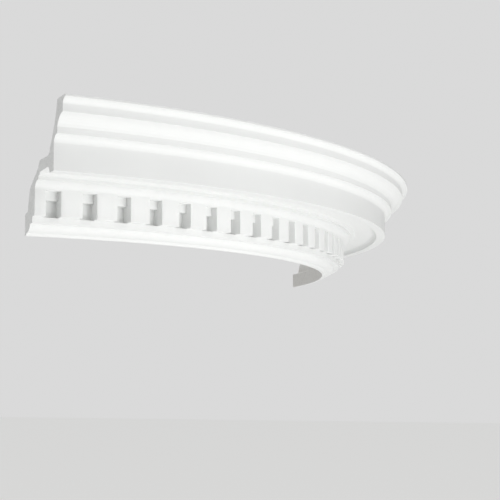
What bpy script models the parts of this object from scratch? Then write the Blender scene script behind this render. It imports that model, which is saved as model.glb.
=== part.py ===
# A curved length of dentil cornice, moulded in one piece as a shell with an open back.
# It fits a rounded wall: the wall seat is part of a cylinder and the ceiling seat is flat.
# Metres, +Z up. The origin is on the ceiling seat, at the middle of the length, and -Y is the front.
# In the section, p is the distance out from the wall and z the height, with the ceiling at 0.

import math

import bmesh
import bpy

# The run along the wall
WALL_RADIUS = 0.790          # radius of the wall that the cornice goes round
DENTIL_COUNT = 24            # dentils in the length, the two half ones at the ends counted as one
DENTIL_PITCH = 0.0492        # from one dentil to the next, along their faces
GAP_WIDTH = 0.0201           # clear width between two dentils
STEPS_PER_DENTIL = 2         # facets of the arc for each dentil

# Heights of the members, from the ceiling down
TOP_FILLET_HEIGHT = 0.0030
CROWN_COVE_HEIGHT = 0.0066
CROWN_BAND_HEIGHT = 0.0096
UPPER_COVE_HEIGHT = 0.0140
STEP_BAND_HEIGHT = 0.0082
NECK_COVE_HEIGHT = 0.0090
CORONA_HEIGHT = 0.0338
BED_FILLET_HEIGHT = 0.0048
BED_COVE_HEIGHT = 0.0077
DENTIL_HEIGHT = 0.0350
FOOT_FILLET_HEIGHT = 0.0084
FOOT_ROUND_HEIGHT = 0.0098
LIP_HEIGHT = 0.0034

# Rises of the soffit above the corona's lower edge
GROOVE_RISE = 0.0084
GROOVE_FALL = 0.0013         # fall of the groove's ceiling towards the wall
SOFFIT_LIP_RISE = 0.0033

# Steps outward of the members, from the wall
LIP_FOOT_OUT = 0.0050
LIP_OUT = 0.0050
FOOT_ROUND_OUT = 0.0128
FOOT_FILLET_OUT = 0.0087
DENTIL_OUT = 0.0097
BED_COVE_OUT = 0.0136
SOFFIT_LIP_OUT = 0.0050
GROOVE_OUT = 0.0412
DRIP_OUT = 0.0160
NECK_COVE_OUT = 0.0125
UPPER_COVE_OUT = 0.0199
CROWN_COVE_OUT = 0.0093
GROOVE_CORNER = 0.0075       # width of the groove's rounded corner behind the drip
GROOVE_SIDE_LEAN = 0.0020    # how far the groove's inner side leans

# Gaps between the dentils
GAP_TOP_DROP = 0.0022        # plain strip above the gap
BLOCK_HEIGHT = 0.0114        # set-back block in the upper part of the gap
BLOCK_SETBACK = 0.0108       # from the dentils' faces to the block
GAP_DEPTH = 0.0188           # from the dentils' faces to the back of the gap
GAP_FLOOR_DROP = 0.0003      # floor of the gap under the dentils' lower edges
CUTTER_REACH = 0.0100        # how far a gap's cutter stands out of the faces

# The hollow back
CEILING_SEAT = 0.0300        # width of the flat that meets the ceiling
WALL_SEAT = 0.0273           # height of the face that meets the wall
CORONA_WALL = 0.0155         # thickness behind the corona
SOFFIT_WALL = 0.0137         # thickness over the soffit's groove
BACK_CORNER = 0.0085         # size of the rounded inner corners
GAP_WALL = 0.0062            # thickness left behind the gaps
SHOULDER_RISE = 0.0033       # where the shell turns in, over the top of the dentils
SEAT_SLOPE = 0.0036          # fall of the ledge over the wall seat

# How far an arc bows, as a share of its chord (a quarter circle is 0.207)
CROWN_COVE_BOW = 0.15
UPPER_COVE_BOW = 0.14
NECK_COVE_BOW = 0.19
BED_COVE_BOW = 0.17
FOOT_ROUND_BOW = 0.16
ROUNDED_BOW = 0.19
SHELL_BOW = 0.06
ARC_POINTS = 4               # points inside each arc of the section


def arc(start, end, bow, points=ARC_POINTS):
    """Points of a circular arc from start to end, without start. A bow above 0 is hollow."""
    sweep = 4 * math.atan(2 * abs(bow))
    along = (end[0] - start[0], end[1] - start[1])
    side = math.copysign(1, bow)
    result = []
    for step in range(1, points + 2):
        turn = sweep * step / (points + 1)
        share = math.sin(turn / 2) / math.sin(sweep / 2)
        lean = side * (sweep / 2 - turn / 2)
        cos, sin = math.cos(-lean), math.sin(-lean)
        result.append((start[0] + share * (along[0] * cos - along[1] * sin),
                       start[1] + share * (along[0] * sin + along[1] * cos)))
    return result


class Section:
    """Corners of the cross-section that more than one part of the model needs."""

    def __init__(self):
        # Distances from the wall, going out
        self.lip_foot = LIP_FOOT_OUT
        self.lip = self.lip_foot + LIP_OUT
        self.foot_round = self.lip + FOOT_ROUND_OUT
        self.foot = self.foot_round + FOOT_FILLET_OUT
        self.dentil = self.foot + DENTIL_OUT
        self.bed = self.dentil + BED_COVE_OUT
        self.groove_inner = self.bed + SOFFIT_LIP_OUT
        self.groove_outer = self.groove_inner + GROOVE_OUT
        self.corona = self.groove_outer + DRIP_OUT
        self.step = self.corona + NECK_COVE_OUT
        self.band = self.step + UPPER_COVE_OUT
        self.top = self.band + CROWN_COVE_OUT

        # Heights, going down
        self.z_top_fillet = -TOP_FILLET_HEIGHT
        self.z_band = self.z_top_fillet - CROWN_COVE_HEIGHT
        self.z_upper_cove = self.z_band - CROWN_BAND_HEIGHT
        self.z_step = self.z_upper_cove - UPPER_COVE_HEIGHT
        self.z_neck = self.z_step - STEP_BAND_HEIGHT
        self.z_corona = self.z_neck - NECK_COVE_HEIGHT
        self.z_drip = self.z_corona - CORONA_HEIGHT
        self.z_groove = self.z_drip + GROOVE_RISE
        self.z_soffit_lip = self.z_drip + SOFFIT_LIP_RISE
        self.z_bed_cove = self.z_soffit_lip - BED_FILLET_HEIGHT
        self.z_dentil = self.z_bed_cove - BED_COVE_HEIGHT
        self.z_foot = self.z_dentil - DENTIL_HEIGHT
        self.z_foot_round = self.z_foot - FOOT_FILLET_HEIGHT
        self.z_lip = self.z_foot_round - FOOT_ROUND_HEIGHT
        self.z_bottom = self.z_lip - LIP_HEIGHT

        # The gaps and the ceiling seat
        self.gap_back = self.dentil - GAP_DEPTH
        self.block = self.dentil - BLOCK_SETBACK
        self.z_gap = self.z_dentil - GAP_TOP_DROP
        self.z_block = self.z_gap - BLOCK_HEIGHT
        self.z_floor = self.z_foot - GAP_FLOOR_DROP
        self.seat_inner = self.top - CEILING_SEAT
        self.seat_middle = self.top - CEILING_SEAT / 2

    def front(self):
        """The show side, from the ceiling down to the wall."""
        points = [(self.top, 0), (self.top, self.z_top_fillet)]
        points += arc(points[-1], (self.band, self.z_band), CROWN_COVE_BOW)
        points.append((self.band, self.z_upper_cove))
        points += arc(points[-1], (self.step, self.z_step), UPPER_COVE_BOW)
        points.append((self.step, self.z_neck))
        points += arc(points[-1], (self.corona, self.z_corona), NECK_COVE_BOW)
        points += [(self.corona, self.z_drip), (self.groove_outer, self.z_drip)]
        points += arc(points[-1], (self.groove_outer - GROOVE_CORNER, self.z_groove), ROUNDED_BOW)
        points.append((self.groove_inner + GROOVE_SIDE_LEAN, self.z_groove - GROOVE_FALL))
        points.append((self.groove_inner, self.z_soffit_lip))
        points += [(self.bed, self.z_soffit_lip), (self.bed, self.z_bed_cove)]
        points += arc(points[-1], (self.dentil, self.z_dentil), BED_COVE_BOW)
        points += [(self.dentil, self.z_foot), (self.foot, self.z_foot)]
        points += [(self.foot, self.z_foot_round), (self.foot_round, self.z_foot_round)]
        points += arc(points[-1], (self.lip, self.z_lip), -FOOT_ROUND_BOW)
        points += [(self.lip_foot, self.z_bottom), (0, self.z_bottom)]
        return points

    def back(self):
        """The hidden side, from the wall seat up to the ceiling seat."""
        behind_gap = self.gap_back - GAP_WALL
        over_soffit = self.z_groove + SOFFIT_WALL
        behind_corona = self.corona - CORONA_WALL
        points = [(0, self.z_bottom + WALL_SEAT)]
        points.append((behind_gap - SEAT_SLOPE, self.z_bottom + WALL_SEAT + SEAT_SLOPE))
        points += arc(points[-1], (self.gap_back, self.z_dentil + SHOULDER_RISE), -SHELL_BOW)
        points.append((self.bed, over_soffit - BACK_CORNER))
        points += arc(points[-1], (self.groove_inner + BACK_CORNER / 2, over_soffit), -ROUNDED_BOW)
        points.append((behind_corona - BACK_CORNER, over_soffit))
        points += arc(points[-1], (behind_corona, over_soffit + BACK_CORNER), ROUNDED_BOW)
        points += arc(points[-1], (self.seat_inner, 0), SHELL_BOW)
        return points


def place(section, p, z, angle):
    """The point at distance p from the wall and height z, at an angle from the middle."""
    radius = WALL_RADIUS + p
    axis_y = WALL_RADIUS + section.seat_middle
    return (radius * math.sin(angle), axis_y - radius * math.cos(angle), z)


def white_plastic():
    """Matte white primed polyurethane."""
    material = bpy.data.materials.new("white_primed_polyurethane")
    material.use_nodes = True
    shader = material.node_tree.nodes["Principled BSDF"]
    shader.inputs["Base Color"].default_value = (0.86, 0.86, 0.85, 1)
    shader.inputs["Roughness"].default_value = 0.6
    shader.inputs["Metallic"].default_value = 0.0
    return material


def solid(name, bm, collection):
    """A mesh object from bm, with its faces pointing out."""
    bmesh.ops.recalc_face_normals(bm, faces=bm.faces)
    mesh = bpy.data.meshes.new(name)
    bm.to_mesh(mesh)
    bm.free()
    thing = bpy.data.objects.new(name, mesh)
    collection.objects.link(thing)
    return thing


def sweep_section(section, sweep, collection):
    """The section carried round the wall, closed by a square cut at each end."""
    bm = bmesh.new()
    corners = [bm.verts.new(place(section, p, z, -sweep / 2)) for p, z in section.front() + section.back()]
    face = bm.faces.new(corners)
    bmesh.ops.spin(bm, geom=[face], cent=place(section, -WALL_RADIUS, 0, 0), axis=(0, 0, 1), angle=sweep,
                   steps=DENTIL_COUNT * STEPS_PER_DENTIL)
    return solid("cornice_length", bm, collection)


def gap_cutters(section, pitch, collection):
    """One L-shaped block for each gap: deep below, shallow over the set-back block."""
    reach = section.dentil + CUTTER_REACH
    outline = [(section.block, section.z_gap), (reach, section.z_gap), (reach, section.z_floor),
               (section.gap_back, section.z_floor), (section.gap_back, section.z_block),
               (section.block, section.z_block)]
    bm = bmesh.new()
    for number in range(DENTIL_COUNT):
        angle = (number + 0.5 - DENTIL_COUNT / 2) * pitch
        across = (math.cos(angle), math.sin(angle), 0)
        corners = []
        for p, z in outline:
            point = place(section, p, z, angle)
            corners.append(bm.verts.new([c - s * GAP_WIDTH / 2 for c, s in zip(point, across)]))
        start = bm.faces.new(corners)
        grown = bmesh.ops.extrude_face_region(bm, geom=[start])["geom"]
        moved = [item for item in grown if isinstance(item, bmesh.types.BMVert)]
        bmesh.ops.translate(bm, verts=moved, vec=[s * GAP_WIDTH for s in across])
    cutters = solid("dentil_gaps", bm, collection)
    cutters.hide_render = True
    cutters.display_type = "WIRE"
    return cutters


def build():
    for old in list(bpy.data.objects):
        bpy.data.objects.remove(old)
    parts = bpy.data.collections.new("cornice_moulding")
    tools = bpy.data.collections.new("cutters")
    for collection in (parts, tools):
        bpy.context.scene.collection.children.link(collection)

    section = Section()
    pitch = DENTIL_PITCH / (WALL_RADIUS + section.dentil)
    cornice = sweep_section(section, DENTIL_COUNT * pitch, parts)
    cornice.data.materials.append(white_plastic())
    cut = cornice.modifiers.new("dentil_gaps", "BOOLEAN")
    cut.operation = "DIFFERENCE"
    cut.object = gap_cutters(section, pitch, tools)
    cornice.data.shade_smooth()
    cornice.data.set_sharp_from_angle(angle=math.radians(25))


build()
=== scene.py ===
import math
import bpy
import numpy as np
from mathutils import Matrix


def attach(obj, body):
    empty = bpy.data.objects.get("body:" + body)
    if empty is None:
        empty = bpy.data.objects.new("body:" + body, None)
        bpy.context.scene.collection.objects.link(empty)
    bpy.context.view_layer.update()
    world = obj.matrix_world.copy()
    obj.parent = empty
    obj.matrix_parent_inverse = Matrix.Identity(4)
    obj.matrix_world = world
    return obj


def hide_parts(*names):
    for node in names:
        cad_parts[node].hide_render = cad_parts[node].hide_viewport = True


# A curved length of dentil cornice: its finishes, the studio and the camera.
# In the section, p is the distance out from the back seat and z the height, both in millimetres.

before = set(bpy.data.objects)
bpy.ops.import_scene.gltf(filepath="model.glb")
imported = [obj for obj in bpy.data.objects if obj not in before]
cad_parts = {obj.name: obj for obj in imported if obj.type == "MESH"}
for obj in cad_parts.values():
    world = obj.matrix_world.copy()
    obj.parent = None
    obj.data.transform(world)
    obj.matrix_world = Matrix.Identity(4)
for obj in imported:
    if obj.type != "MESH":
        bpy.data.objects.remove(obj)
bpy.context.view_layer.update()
print("frame loaded")

mmPerMetre = 1000

# What a user would change on the cornice, in millimetres unless it says so
cornice = {
    "seatRadius": 790.0,      # of the curved seat at the back
    "dentilCount": 24,
    "dentilPitch": 49.2,      # along the dentils' faces
    "gapWidth": 20.1,
    "outSteps": {             # the section's members, each from the one before, outwards from the back seat
        "lipFoot": 5.0, "lip": 5.0, "footRound": 12.8, "foot": 8.7, "dentil": 9.7, "bed": 13.6,
        "grooveInner": 5.0, "grooveOuter": 41.2, "corona": 16.0, "step": 12.5, "band": 19.9, "top": 9.3,
    },
    "downSteps": {            # from the top seat down to the drip
        "topFillet": 3.0, "band": 6.6, "upperCove": 9.6, "step": 14.0, "neck": 8.2, "corona": 9.0,
        "drip": 33.8,
    },
    "bedSteps": {             # from the soffit's inner lip down
        "bedCove": 4.8, "dentil": 7.7, "foot": 35.0, "footRound": 8.4, "lip": 9.8, "bottom": 3.4,
    },
    "soffit": {"grooveRise": 8.4, "lipRise": 3.3, "grooveCorner": 7.5, "grooveFall": 1.3, "sideLean": 2.0},
    "gap": {"topDrop": 2.2, "blockHeight": 11.4, "blockSetback": 10.8, "depth": 18.8, "floorDrop": 0.3},
    "shell": {                # the hollow back: its two seats and how thick it is elsewhere
        "topSeat": 30.0, "backSeat": 27.3, "behindCorona": 15.5, "overSoffit": 13.7, "behindGap": 6.2,
        "corner": 8.5, "seatSlope": 3.6,
    },
    "bows": {                 # how far each arc bows, as a share of its chord
        "crownCove": 0.15, "upperCove": 0.14, "neckCove": 0.19, "bedCove": 0.17, "footRound": -0.16,
        "rounded": 0.19, "shell": 0.06,
    },
    "quirk": 1.6,             # small step in over the bottom lip
    "arcPoints": 6,           # points in each arc of the section
    "arrisRadius": 0.55,      # soft wear of the moulded edges
    "arrisPoints": 4,         # points in each worn edge
    "edgeEase": (0.0, 0.012, 0.04),   # easing of a dentil's side edge, as shares of the gap's depth
    "edgeWidths": (0.6, 0.2, 0.0),    # where those shares lie, from the edge
    "dentilLean": 0.02,       # a dentil's side leans by this much
    "faceSpacing": 0.3,       # smallest spacing of points on a dentil's face
    "sharpDegrees": 38.0,     # an edge that turns more than this is shaded sharp
}
soffit, gap, shell, bows = (cornice[part] for part in ("soffit", "gap", "shell", "bows"))


def chain(steps, start=0.0, sign=1.0):
    # Running sums: each member starts where the one before it ends
    sums = start + sign * np.cumsum(list(steps.values()))
    return dict(zip(steps, sums))


outs = chain(cornice["outSteps"])
downs = chain(cornice["downSteps"], 0.0, -1.0)
beds = chain(cornice["bedSteps"], downs["drip"] + soffit["lipRise"], -1.0)
seatMiddle = outs["top"] - shell["topSeat"] / 2
dentilRadius = cornice["seatRadius"] + outs["dentil"]
pitchAngle = cornice["dentilPitch"] / dentilRadius


def arcRun(start, end, bow):
    # Circular arc: chords from the start grow as sin(turn/2) while they swing from one side of the
    # whole chord to the other. A bow above 0 is hollow, below 0 is proud.
    start, end = np.array(start), np.array(end)
    sweep = 4 * math.atan(2 * abs(bow))
    turn = sweep * np.arange(1, cornice["arcPoints"] + 1) / cornice["arcPoints"]
    share = np.sin(turn / 2) / math.sin(sweep / 2)
    lean = -np.sign(bow) * (sweep / 2 - turn / 2)
    along = end - start
    swung = np.stack([along[0] * np.cos(lean) - along[1] * np.sin(lean),
                      along[0] * np.sin(lean) + along[1] * np.cos(lean)], axis=1)
    return list(start + share[:, None] * swung)


def upperFront():
    # Straight members and arcs from the top down to the dentils
    run = [(outs["top"], 0.0), (outs["top"], downs["topFillet"])]
    run += arcRun(run[-1], (outs["band"], downs["band"]), bows["crownCove"])
    run.append((outs["band"], downs["upperCove"]))
    run += arcRun(run[-1], (outs["step"], downs["step"]), bows["upperCove"])
    run.append((outs["step"], downs["neck"]))
    run += arcRun(run[-1], (outs["corona"], downs["corona"]), bows["neckCove"])
    run += [(outs["corona"], downs["drip"]), (outs["grooveOuter"], downs["drip"])]
    grooveTop = downs["drip"] + soffit["grooveRise"]
    lipHeight = downs["drip"] + soffit["lipRise"]
    run += arcRun(run[-1], (outs["grooveOuter"] - soffit["grooveCorner"], grooveTop), bows["rounded"])
    run.append((outs["grooveInner"] + soffit["sideLean"], grooveTop - soffit["grooveFall"]))
    run += [(outs["grooveInner"], lipHeight), (outs["bed"], lipHeight), (outs["bed"], beds["bedCove"])]
    run += arcRun(run[-1], (outs["dentil"], beds["dentil"]), bows["bedCove"])
    return run


def dentilFronts():
    # The same six points twice: flat on a dentil's face, and folded into the gap beside it
    face, foot = outs["dentil"], outs["foot"]
    block, deep = face - gap["blockSetback"], face - gap["depth"]
    top = beds["dentil"] - gap["topDrop"]
    middle = top - gap["blockHeight"]
    floor = beds["foot"] - gap["floorDrop"]
    small = cornice["faceSpacing"]
    onDentil = [(face, top), (face, top - small), (face, middle), (face, middle - small),
                (face, beds["foot"]), (foot, beds["foot"])]
    inGap = [(face, top), (block, top), (block, middle), (deep, middle), (deep, floor), (foot, floor)]
    return onDentil, inGap


def lowerFront():
    # From the foot's fillet down to the back seat
    run = [(outs["foot"], beds["footRound"]), (outs["footRound"], beds["footRound"])]
    run += arcRun(run[-1], (outs["lip"], beds["lip"]), bows["footRound"])
    run.append((outs["lip"] - cornice["quirk"], beds["lip"]))
    run += [(outs["lipFoot"], beds["bottom"]), (0.0, beds["bottom"])]
    return run


def hiddenBack():
    # From the back seat up the hollow back to the top seat
    overSoffit = downs["drip"] + soffit["grooveRise"] + shell["overSoffit"]
    behindCorona = outs["corona"] - shell["behindCorona"]
    deep = outs["dentil"] - gap["depth"]
    seatTop = beds["bottom"] + shell["backSeat"]
    run = [(0.0, seatTop), (deep - shell["behindGap"] - shell["seatSlope"], seatTop + shell["seatSlope"])]
    run += arcRun(run[-1], (deep, beds["dentil"] + soffit["lipRise"]), -bows["shell"])
    run.append((outs["bed"], overSoffit - shell["corner"]))
    run += arcRun(run[-1], (outs["grooveInner"] + shell["corner"] / 2, overSoffit), -bows["rounded"])
    run.append((behindCorona - shell["corner"], overSoffit))
    run += arcRun(run[-1], (behindCorona, overSoffit + shell["corner"]), bows["rounded"])
    run += arcRun(run[-1], (outs["top"] - shell["topSeat"], 0.0), bows["shell"])
    return run


def eased(points, radius, count):
    # Each corner becomes a small quadratic curve between points one radius away on its two sides:
    # (1 - t) squared first + 2 t (1 - t) corner + t squared last, with t from 0 to 1
    sideShare = 0.4   # of the shorter side at most, so that neighbouring curves stay apart
    points = np.array(points)
    before, after = np.roll(points, 1, axis=0) - points, np.roll(points, -1, axis=0) - points
    lengthBefore = np.linalg.norm(before, axis=1, keepdims=True)
    lengthAfter = np.linalg.norm(after, axis=1, keepdims=True)
    reach = np.minimum(radius, sideShare * np.minimum(lengthBefore, lengthAfter))
    first, last = points + before / lengthBefore * reach, points + after / lengthAfter * reach
    t = np.linspace(0, 1, count)[None, :, None]
    curve = (1 - t) ** 2 * first[:, None] + 2 * t * (1 - t) * points[:, None] + t ** 2 * last[:, None]
    return curve.reshape(-1, 2)


def columns():
    # Angles along the run and, at each, how far the section is folded into a gap (0 to 1).
    # One gap's columns are worked out about its middle and repeated at every pitch.
    half = cornice["gapWidth"] / 2 / dentilRadius
    widths = np.array(cornice["edgeWidths"]) / dentilRadius
    lean = cornice["dentilLean"] / dentilRadius
    onFace = [-pitchAngle / 2, -(pitchAngle / 2 + half) / 2]   # a dentil's middle, and halfway to its edge
    inside = [-half + lean, -half / 3]                         # a dentil's side, and a third off the middle
    left = np.concatenate([onFace, -half - widths, inside])
    leftFold = np.concatenate([np.zeros(len(onFace)), cornice["edgeEase"], np.ones(len(inside))])
    angles = np.concatenate([left, -left[:0:-1]])
    folds = np.concatenate([leftFold, leftFold[:0:-1]])
    middles = (np.arange(cornice["dentilCount"]) + 0.5 - cornice["dentilCount"] / 2) * pitchAngle
    allAngles = (middles[:, None] + angles[None, :]).ravel()
    allFolds = np.tile(folds, cornice["dentilCount"])
    return np.append(allAngles, cornice["dentilCount"] / 2 * pitchAngle), np.append(allFolds, 0.0)


def makeCornice(materials):
    # The section carried round an axis: a point (p, z) at an angle lies at x = (R + p) sin(angle),
    # y = R + m - (R + p) cos(angle), with R the back seat's radius and m the middle of the top seat.
    # Each column's section is plain + fold * (folded - plain).
    onDentil, inGap = dentilFronts()
    upper, lower, back = upperFront(), lowerFront(), hiddenBack()
    plain = eased(upper + onDentil + lower + back, cornice["arrisRadius"], cornice["arrisPoints"])
    folded = eased(upper + inGap + lower + back, cornice["arrisRadius"], cornice["arrisPoints"])
    angles, folds = columns()
    section = plain[None] + folds[:, None, None] * (folded - plain)[None]
    radius = cornice["seatRadius"] + section[..., 0]
    turned = angles[:, None]
    axisY = cornice["seatRadius"] + seatMiddle
    places = np.stack([radius * np.sin(turned), axisY - radius * np.cos(turned), section[..., 1]], axis=-1)
    rows, count = places.shape[:2]
    start = np.arange(rows - 1)[:, None] * count + np.arange(count)[None]
    beside = np.arange(rows - 1)[:, None] * count + (np.arange(count)[None] + 1) % count
    quads = np.stack([start, beside, beside + count, start + count], axis=-1).reshape(-1, 4)
    nearEnd = list(range(count))[::-1]
    farEnd = list(range((rows - 1) * count, rows * count))
    points = places.reshape(-1, 3) / mmPerMetre
    mesh = bpy.data.meshes.new("cornice_surface")
    mesh.from_pydata(points.tolist(), [], quads.tolist() + [nearEnd, farEnd])
    for material in materials:
        mesh.materials.append(material)
    # The primed face ends halfway round the last arris, the moulded skin follows, then the two sawn ends
    faceCount = len(upper + onDentil + lower) * cornice["arrisPoints"] - cornice["arrisPoints"] // 2
    strip = np.where(np.arange(count) < faceCount, 0, 1)
    slots = np.append(np.tile(strip, rows - 1), [2, 2])
    mesh.polygons.foreach_set("material_index", slots.astype(np.int32))
    mesh.shade_smooth()
    mesh.set_sharp_from_angle(angle=math.radians(cornice["sharpDegrees"]))
    piece = bpy.data.objects.new("cornice_moulding", mesh)
    bpy.context.scene.collection.objects.link(piece)
    print("cornice:", rows, "columns of", count, "points")
    return piece


def linearColour(text):
    # sRGB hex to linear: a straight share near black, and a power of 2.4 above it
    coded = np.array([int(text[i:i + 2], 16) for i in (1, 3, 5)]) / 255
    plain = np.where(coded <= 0.04045, coded / 12.92, ((coded + 0.055) / 1.055) ** 2.4)
    return (*plain, 1.0)


def addNode(tree, kind, settings=None, links=None):
    # One node with its settings, on sockets or on itself, and its incoming links
    made = tree.nodes.new(kind)
    for name, value in (settings or {}).items():
        if name in made.inputs:
            made.inputs[name].default_value = value
        else:
            setattr(made, name, value)
    for name, source in (links or {}).items():
        tree.links.new(source, made.inputs[name])
    return made


def foamFinish(name, look):
    # Broad soft tint, fine grain in the gloss and the bump, and pits where the look has them, with painted
    # shade darkening each pit towards its middle.
    # A texture's scale is how many of its marks go in a metre.
    softDetail, fineDetail = 3.0, 4.0               # octaves of the two noises
    pitCentre, pitRim = 0.05, 0.45                  # as shares of a cell
    mixFactor, mixA, mixB, mixResult = 0, 6, 7, 2   # sockets of a Mix node for colours
    broadScale, grainScale, pitScale = (mmPerMetre / look[size] for size in ("broadMm", "grainMm", "pitMm"))
    material = bpy.data.materials.new(name)
    material.use_nodes = True
    tree = material.node_tree
    shader = tree.nodes["Principled BSDF"]
    shader.inputs["IOR"].default_value = look["ior"]
    shader.inputs["Metallic"].default_value = 0.0
    place = addNode(tree, "ShaderNodeTexCoord").outputs["Object"]
    broad = addNode(tree, "ShaderNodeTexNoise",
                    {"Scale": broadScale, "Detail": softDetail}, {"Vector": place})
    grain = addNode(tree, "ShaderNodeTexNoise",
                    {"Scale": grainScale, "Detail": fineDetail}, {"Vector": place})
    pits = addNode(tree, "ShaderNodeTexVoronoi", {"Scale": pitScale}, {"Vector": place})
    pitDepth = addNode(tree, "ShaderNodeMapRange",
                       {"From Min": pitCentre, "From Max": pitRim, "To Min": 0.0, "To Max": 1.0},
                       {"Value": pits.outputs["Distance"]})
    tint = addNode(tree, "ShaderNodeMix", {"data_type": "RGBA"}, {"Factor": broad.outputs["Fac"]})
    tint.inputs[mixA].default_value = linearColour(look["light"])
    tint.inputs[mixB].default_value = linearColour(look["shade"])
    # Painted shade: the colour is darkened towards each pit's middle by the look's share, in place of the
    # shade a real hollow would hold
    pitShaded = addNode(tree, "ShaderNodeMix", {"data_type": "RGBA", "blend_type": "MULTIPLY"})
    pitShaded.inputs[mixFactor].default_value = look["pitPaintedShade"]
    tree.links.new(tint.outputs[mixResult], pitShaded.inputs[mixA])
    tree.links.new(pitDepth.outputs["Result"], pitShaded.inputs[mixB])
    tree.links.new(pitShaded.outputs[mixResult], shader.inputs["Base Color"])
    gloss = addNode(tree, "ShaderNodeMapRange", {"To Min": look["roughLow"], "To Max": look["roughHigh"]},
                    {"Value": grain.outputs["Fac"]})
    tree.links.new(gloss.outputs["Result"], shader.inputs["Roughness"])
    grainBump = addNode(tree, "ShaderNodeBump",
                        {"Strength": 1.0, "Distance": look["grainDepthMm"] / mmPerMetre},
                        {"Height": grain.outputs["Fac"]})
    pitBump = addNode(tree, "ShaderNodeBump",
                      {"Strength": 1.0, "Distance": look["pitDepthMm"] / mmPerMetre},
                      {"Height": pitDepth.outputs["Result"], "Normal": grainBump.outputs["Normal"]})
    tree.links.new(pitBump.outputs["Normal"], shader.inputs["Normal"])
    return material


# White primer sprayed on smooth moulded polyurethane: flat white, a faint orange peel, no gloss
primedLook = {
    "light": "#EBECEB", "shade": "#E5E6E5", "ior": 1.5, "roughLow": 0.5, "roughHigh": 0.64,
    "broadMm": 90.0, "grainMm": 2.4, "grainDepthMm": 0.035, "pitMm": 9.0, "pitDepthMm": 0.0, "pitPaintedShade": 0.0,
}
# The back as it left the mould, unprimed: a little duller, with a skin of small shallow bubbles whose
# middles carry a little painted shade
skinLook = {
    "light": "#E6E5E2", "shade": "#DEDDD9", "ior": 1.5, "roughLow": 0.6, "roughHigh": 0.8,
    "broadMm": 60.0, "grainMm": 5.0, "grainDepthMm": 0.25, "pitMm": 7.0, "pitDepthMm": 0.12, "pitPaintedShade": 0.1,
}
# A sawn end: rigid foam cut open, grey-white and matt, cells drawn coarser than the real half millimetre,
# with painted shade in their hollows
sawnLook = {
    "light": "#E2E3E2", "shade": "#D7D8D7", "ior": 1.5, "roughLow": 0.8, "roughHigh": 0.95,
    "broadMm": 25.0, "grainMm": 1.6, "grainDepthMm": 0.2, "pitMm": 1.8, "pitDepthMm": 0.2, "pitPaintedShade": 0.3,
}

finishes = [
    foamFinish("primed_polyurethane_face", primedLook),
    foamFinish("moulded_polyurethane_skin", skinLook),
    foamFinish("sawn_polyurethane_end", sawnLook),
]
moulding = makeCornice(finishes)
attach(moulding, "root")
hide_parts("cornice_length")
print("cornice made")

# The studio, in metres and degrees. The viewpoint is below the cornice and off its left end,
# looking slightly up.
studio = {
    "height": 0.150,            # the cornice's height, that the three distances below are shares of
    "viewRight": 4.364,         # from the arc's centre to the camera, across the view
    "viewBack": 13.871,         # and back along it
    "viewBelow": 2.105,         # below the top seat
    "pitch": 6.03, "roll": -0.416,
    "lens": 78.55, "sensor": 36.0,   # both in millimetres
    "middleTurn": -68.43,       # from the view's axis to the middle of the run
    "floorHeight": -2.00, "floorSize": 60.0, "floorColour": "#F2F2F1", "floorRoughness": 0.9,
    "worldColour": "#FFFFFF", "backdropStrength": 0.70, "worldStrength": 0.20,
    "overheadStrength": 1.85, "overheadAngle": 25.0,
}
# Softboxes, in metres from the target: across the view, towards the camera and up
softboxes = {
    "front_softbox": {"right": 1.7, "back": 1.5, "up": 0.30, "size": 1.0, "power": 14.0},
    "low_softbox": {"right": 0.95, "back": 0.8, "up": -1.45, "size": 1.2, "power": 16.5},
    "end_softbox": {"right": -1.72, "back": 0.99, "up": 0.0, "size": 0.8, "power": 7.5},
}
softboxTarget = (-0.25, 0.05, -0.08)


def viewFrame():
    # The view's own axes turned to the cornice's: x to the right, y away from the camera
    return Matrix.Rotation(math.radians(studio["middleTurn"]), 4, "Z")


def makeCamera():
    # From the arc's centre out along the view's axes, then pitched and rolled
    unit = studio["height"]
    axis = Matrix.Translation((0, (cornice["seatRadius"] + seatMiddle) / mmPerMetre, 0))
    away = (studio["viewRight"] * unit, -studio["viewBack"] * unit, -studio["viewBelow"] * unit)
    pitched = Matrix.Rotation(math.radians(90 + studio["pitch"]), 4, "X")
    rolled = Matrix.Rotation(math.radians(studio["roll"]), 4, "Z")
    lens = bpy.data.cameras.new("camera")
    lens.lens = studio["lens"]
    lens.sensor_width = studio["sensor"]
    camera = bpy.data.objects.new("camera", lens)
    camera.matrix_world = axis @ viewFrame() @ Matrix.Translation(away) @ (pitched @ rolled)
    bpy.context.scene.collection.objects.link(camera)
    bpy.context.scene.camera = camera


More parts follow.
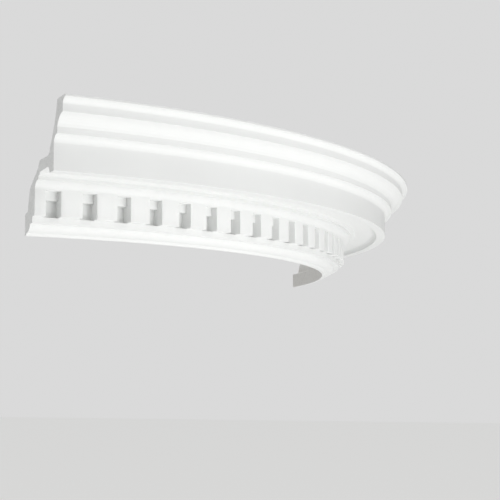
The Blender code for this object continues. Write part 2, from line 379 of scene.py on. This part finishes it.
def makeFloor():
    # A pale square far below, whose bounce lights the undersides
    half = studio["floorSize"] / 2
    corners = [(-half, -half), (half, -half), (half, half), (-half, half)]
    mesh = bpy.data.meshes.new("floor")
    mesh.from_pydata([(x, y, studio["floorHeight"]) for x, y in corners], [], [(0, 1, 2, 3)])
    floor = bpy.data.objects.new("floor", mesh)
    bpy.context.scene.collection.objects.link(floor)
    paper = bpy.data.materials.new("pale_studio_floor")
    paper.use_nodes = True
    shader = paper.node_tree.nodes["Principled BSDF"]
    shader.inputs["Base Color"].default_value = linearColour(studio["floorColour"])
    shader.inputs["Roughness"].default_value = studio["floorRoughness"]
    mesh.materials.append(paper)


def makeBackdrop():
    # White all round: strong where the camera sees it, dimmer as a light
    world = bpy.data.worlds.new("soft_white")
    world.use_nodes = True
    tree = world.node_tree
    seen = addNode(tree, "ShaderNodeLightPath").outputs["Is Camera Ray"]
    strengths = {"To Min": studio["worldStrength"], "To Max": studio["backdropStrength"]}
    strength = addNode(tree, "ShaderNodeMapRange", strengths, {"Value": seen})
    sky = tree.nodes["Background"]
    sky.inputs["Color"].default_value = linearColour(studio["worldColour"])
    tree.links.new(strength.outputs["Result"], sky.inputs["Strength"])
    bpy.context.scene.world = world


def makeOverhead():
    # Soft light from straight above, mostly for the floor
    overhead = bpy.data.lights.new("overhead", "SUN")
    overhead.energy = studio["overheadStrength"]
    overhead.angle = math.radians(studio["overheadAngle"])
    bpy.context.scene.collection.objects.link(bpy.data.objects.new("overhead", overhead))


def makeSoftbox(name, box):
    # A square area light turned to the target. The end one stands nearly along the cut end's normal.
    target = Matrix.Translation(softboxTarget)
    offset = Matrix.Translation((box["right"], -box["back"], box["up"]))
    place = (target @ viewFrame() @ offset).translation
    light = bpy.data.lights.new(name, "AREA")
    light.size = box["size"]
    light.energy = box["power"]
    lamp = bpy.data.objects.new(name, light)
    lamp.location = place
    lamp.rotation_euler = (place - target.translation).to_track_quat("Z", "Y").to_euler()
    bpy.context.scene.collection.objects.link(lamp)


makeCamera()
makeFloor()
makeBackdrop()
makeOverhead()
for name, box in softboxes.items():
    makeSoftbox(name, box)
bpy.context.scene.view_settings.view_transform = "Standard"   # whites stay white
print("camera, floor and lights made")
